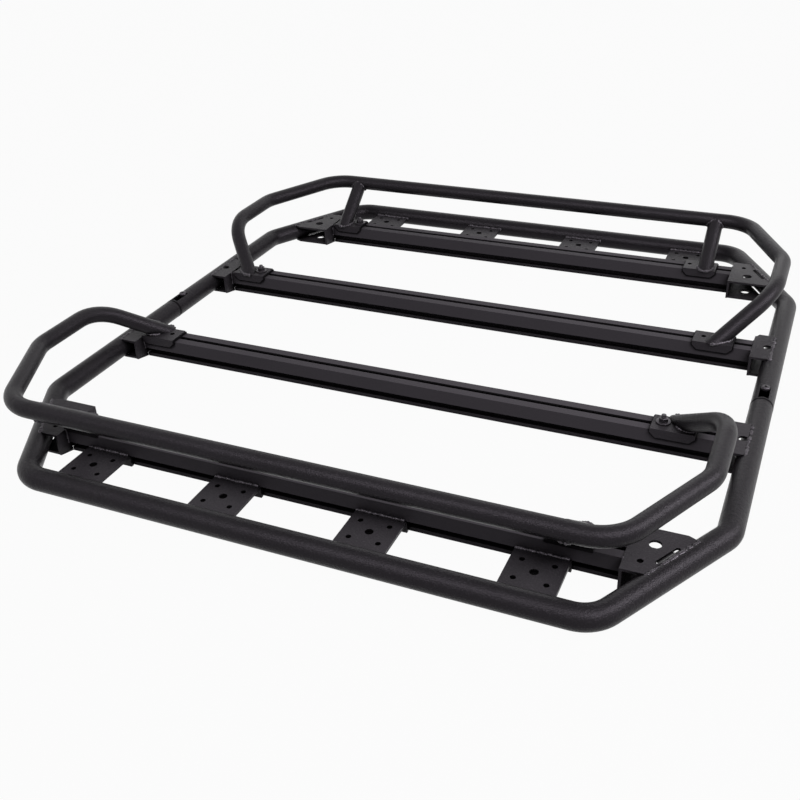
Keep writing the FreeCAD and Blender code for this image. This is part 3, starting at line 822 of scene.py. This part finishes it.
# %% [markdown]
# The posts are welded all round, the rails' legs all round but for the heel, which the torch can't
# reach. The seams are the lowest ring of points of each tube, and for a post also the ring that its
# saddle leaves against the rail.

# %% Beads round the rails' legs and the posts
RAIL_R = 15.0 * MM
HEEL = math.radians(55)
END_SKIN = 0.3 * MM
SADDLE_SKIN = 0.4 * MM
LEG_BEAD = 3.8 * MM
POST_BEAD = 3.2 * MM


def open_inside(spots, hand):
    """A leg's seam without its heel, the part that faces the rack's middle line."""
    centre = sum(spots, Vector()) / len(spots)

    def turn(p):
        return (math.atan2(p.y - centre.y, (p.x - centre.x) * hand) + math.pi) % (2 * math.pi)

    return [p for p in sorted(spots, key=turn) if HEEL < turn(p) < 2 * math.pi - HEEL]


leg_seams = []
post_seams = []
for end, side in (("front", -1), ("rear", 1)):
    rail = "rail_" + end
    low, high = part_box(rail)
    ends = points_of(rail, lambda p: p.z < low.z + END_SKIN)
    leg_seams += [open_inside(around([p for p in ends if p.x * hand > 0]), hand) for hand in (1, -1)]
    axis_y = (high.y if side > 0 else low.y) - side * RAIL_R
    axis_z = high.z - RAIL_R
    for hand in ("right", "left"):
        post = "post_%s_%s" % (end, hand)
        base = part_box(post)[0].z
        post_seams.append(around(points_of(post, lambda p: p.z < base + END_SKIN)))
        post_seams.append(around(points_of(
            post, lambda p: math.hypot(p.y - axis_y, p.z - axis_z) < RAIL_R + SADDLE_SKIN)))
bead("weld_legs", leg_seams, LEG_BEAD)
bead("weld_posts", post_seams, POST_BEAD, closed=True)


# %% [markdown]
# Tabs, arms and corners are welded along the ring, and to the bars. Along the ring the seam is the
# outermost edge of the plate's top; at the bars it runs up the edge of the bar's face.

# %% Beads along the tabs
EDGE_SKIN = 1.0 * MM
SEAM_SHORT = 2.0 * MM
TAB_BEAD = 3.6 * MM


def top_edge(node, outward):
    """The two ends of a plate's top edge that lies furthest in one direction."""
    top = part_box(node)[1].z
    spots = points_of(node, lambda p: p.z > top - TOP_SKIN)
    reach = max(p.dot(outward) for p in spots)
    along = Vector((-outward.y, outward.x, 0.0))
    edge = [p for p in spots if p.dot(outward) > reach - EDGE_SKIN]
    edge.sort(key=lambda p: p.dot(along))
    return [edge[0].copy(), edge[-1].copy()]


tab_seams = []
for end, side, bar_number in (("front", -1, 4), ("rear", 1, 1)):
    face_y = BARS[bar_number][0].y if side < 0 else BARS[bar_number][1].y
    for number in (1, 2, 3, 4):
        tab = "tab_%s_%d" % (end, number)
        low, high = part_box(tab)
        tab_seams.append(top_edge(tab, Vector((0, side, 0))))
        tab_seams.append([Vector((low.x + SEAM_SHORT, face_y, high.z)),
                          Vector((high.x - SEAM_SHORT, face_y, high.z))])
bead("weld_tabs", tab_seams, TAB_BEAD)


# %% Beads along the brackets
HEAD_DEEP = 24.0 * MM
TOE_HALF = 12.0 * MM
TOE_TOP = 8.0 * MM
GROOVE = 2.5 * MM
BRACKET_BEAD = 2.4 * MM
RING_BEAD = 4.0 * MM
# Where the slanted tube of the rear right corner faces
RING_NORMAL = Vector((0.871, 0.491, 0.0))
bracket_seams = []
ring_seams = []
for bracket in brackets:
    bar, bar_end, hand = bar_of(bracket)
    if bracket.startswith("arm"):
        outward = Vector((hand, 0, 0))
    else:
        side = 1 if "rear" in bracket else -1
        outward = Vector((RING_NORMAL.x * hand, RING_NORMAL.y * side, 0))
    groove = outward * GROOVE - Vector((0, 0, GROOVE))
    ring_seams.append([p + groove for p in top_edge(bracket, outward)])
    for face_y in (bar[0].y, bar[1].y):
        bracket_seams.append([Vector((bar_end, face_y, bar[1].z)),
                              Vector((bar_end, face_y, bar[1].z - HEAD_DEEP))])
    mid = middle(bar, 1)
    bracket_seams.append([Vector((bar_end, mid - TOE_HALF, TOE_TOP)),
                          Vector((bar_end, mid + TOE_HALF, TOE_TOP))])
bead("weld_brackets", bracket_seams, BRACKET_BEAD)
bead("weld_ring", ring_seams, RING_BEAD)


# %% [markdown]
# ## The studio
# The rack stands on a pale floor in a dim room, under three soft lamps from the front and the right
# and a faint one from the back. Floor and room could be lit until they are white, but then the rack
# would be lit too much as well. Instead they are white to the camera, to reflections and through
# glass, and throw little light. The floor mixes in a plain diffuse share, so that the rack's shadow
# stays.

# %% Floor
FLOOR_SIZE = 60.0
FLOOR_GREY = 0.12
FLOOR_WHITE = 0.96
WHITE = (1.0, 1.0, 1.0, 1.0)


def shown(w):
    """1 for rays from the camera, off shiny surfaces and through glass, 0 for rays that light."""
    path = w.tree.nodes.new("ShaderNodeLightPath")
    seen = Wire(w.tree, path.outputs["Is Camera Ray"])
    mirrored = Wire(w.tree, path.outputs["Is Glossy Ray"])
    through = Wire(w.tree, path.outputs["Is Transmission Ray"])
    return w.maths("MAXIMUM", w.maths("MAXIMUM", seen, mirrored), through)


def floor_finish():
    material, w = new_finish("studio_floor_white")
    matt = w.node("ShaderNodeBsdfDiffuse", feeds={"Color": (FLOOR_GREY, FLOOR_GREY, FLOOR_GREY, 1.0)})
    glow = w.node("ShaderNodeEmission", feeds={"Color": WHITE, "Strength": 1.0})
    mixed = w.node("ShaderNodeMixShader", feeds={0: shown(w) * FLOOR_WHITE, 1: matt, 2: glow})
    w.node("ShaderNodeOutputMaterial", feeds={"Surface": mixed})
    return material


bpy.ops.object.select_all(action="DESELECT")
bpy.ops.mesh.primitive_plane_add(size=FLOOR_SIZE, location=(0, 0, cad_low.z))
floor = bpy.context.active_object
floor.name = "studio_floor"
floor.data.materials.append(floor_finish())
print("floor at", round(cad_low.z, 4))


# %% Room and lamps
ROOM_LEVEL = 0.16
world = bpy.data.worlds.new("studio_room")
world.use_nodes = True
world.node_tree.nodes.clear()
room = Wire(world.node_tree)
strength = shown(room) * (1 - ROOM_LEVEL) + ROOM_LEVEL
glow = room.node("ShaderNodeBackground", feeds={"Color": WHITE, "Strength": strength})
room.node("ShaderNodeOutputWorld", feeds={"Surface": glow})
bpy.context.scene.world = world


def softbox(name, place, target, size, watts):
    """A square lamp that faces a point."""
    lamp = bpy.data.lights.new(name, "AREA")
    lamp.shape = "SQUARE"
    lamp.size = size
    lamp.energy = watts
    holder = bpy.data.objects.new(name, lamp)
    holder.location = place
    holder.rotation_euler = (Vector(target) - Vector(place)).to_track_quat("-Z", "Y").to_euler()
    bpy.context.scene.collection.objects.link(holder)
    return holder


softbox("lamp_front", place=(-0.6, -2.2, 2.4), target=(0.0, -0.3, 0.0), size=1.5, watts=46.2)
softbox("lamp_near", place=(1.7, -1.4, 2.1), target=(0.2, 0.0, 0.0), size=1.35, watts=56.7)
softbox("lamp_right", place=(2.1, 0.2, 1.4), target=(0.2, -0.2, 0.0), size=1.1, watts=38.85)
softbox("lamp_back", place=(-0.3, 3.2, 1.2), target=(-0.1, 0.3, 0.0), size=2.0, watts=7.0)
print("studio: floor, room and four lamps")
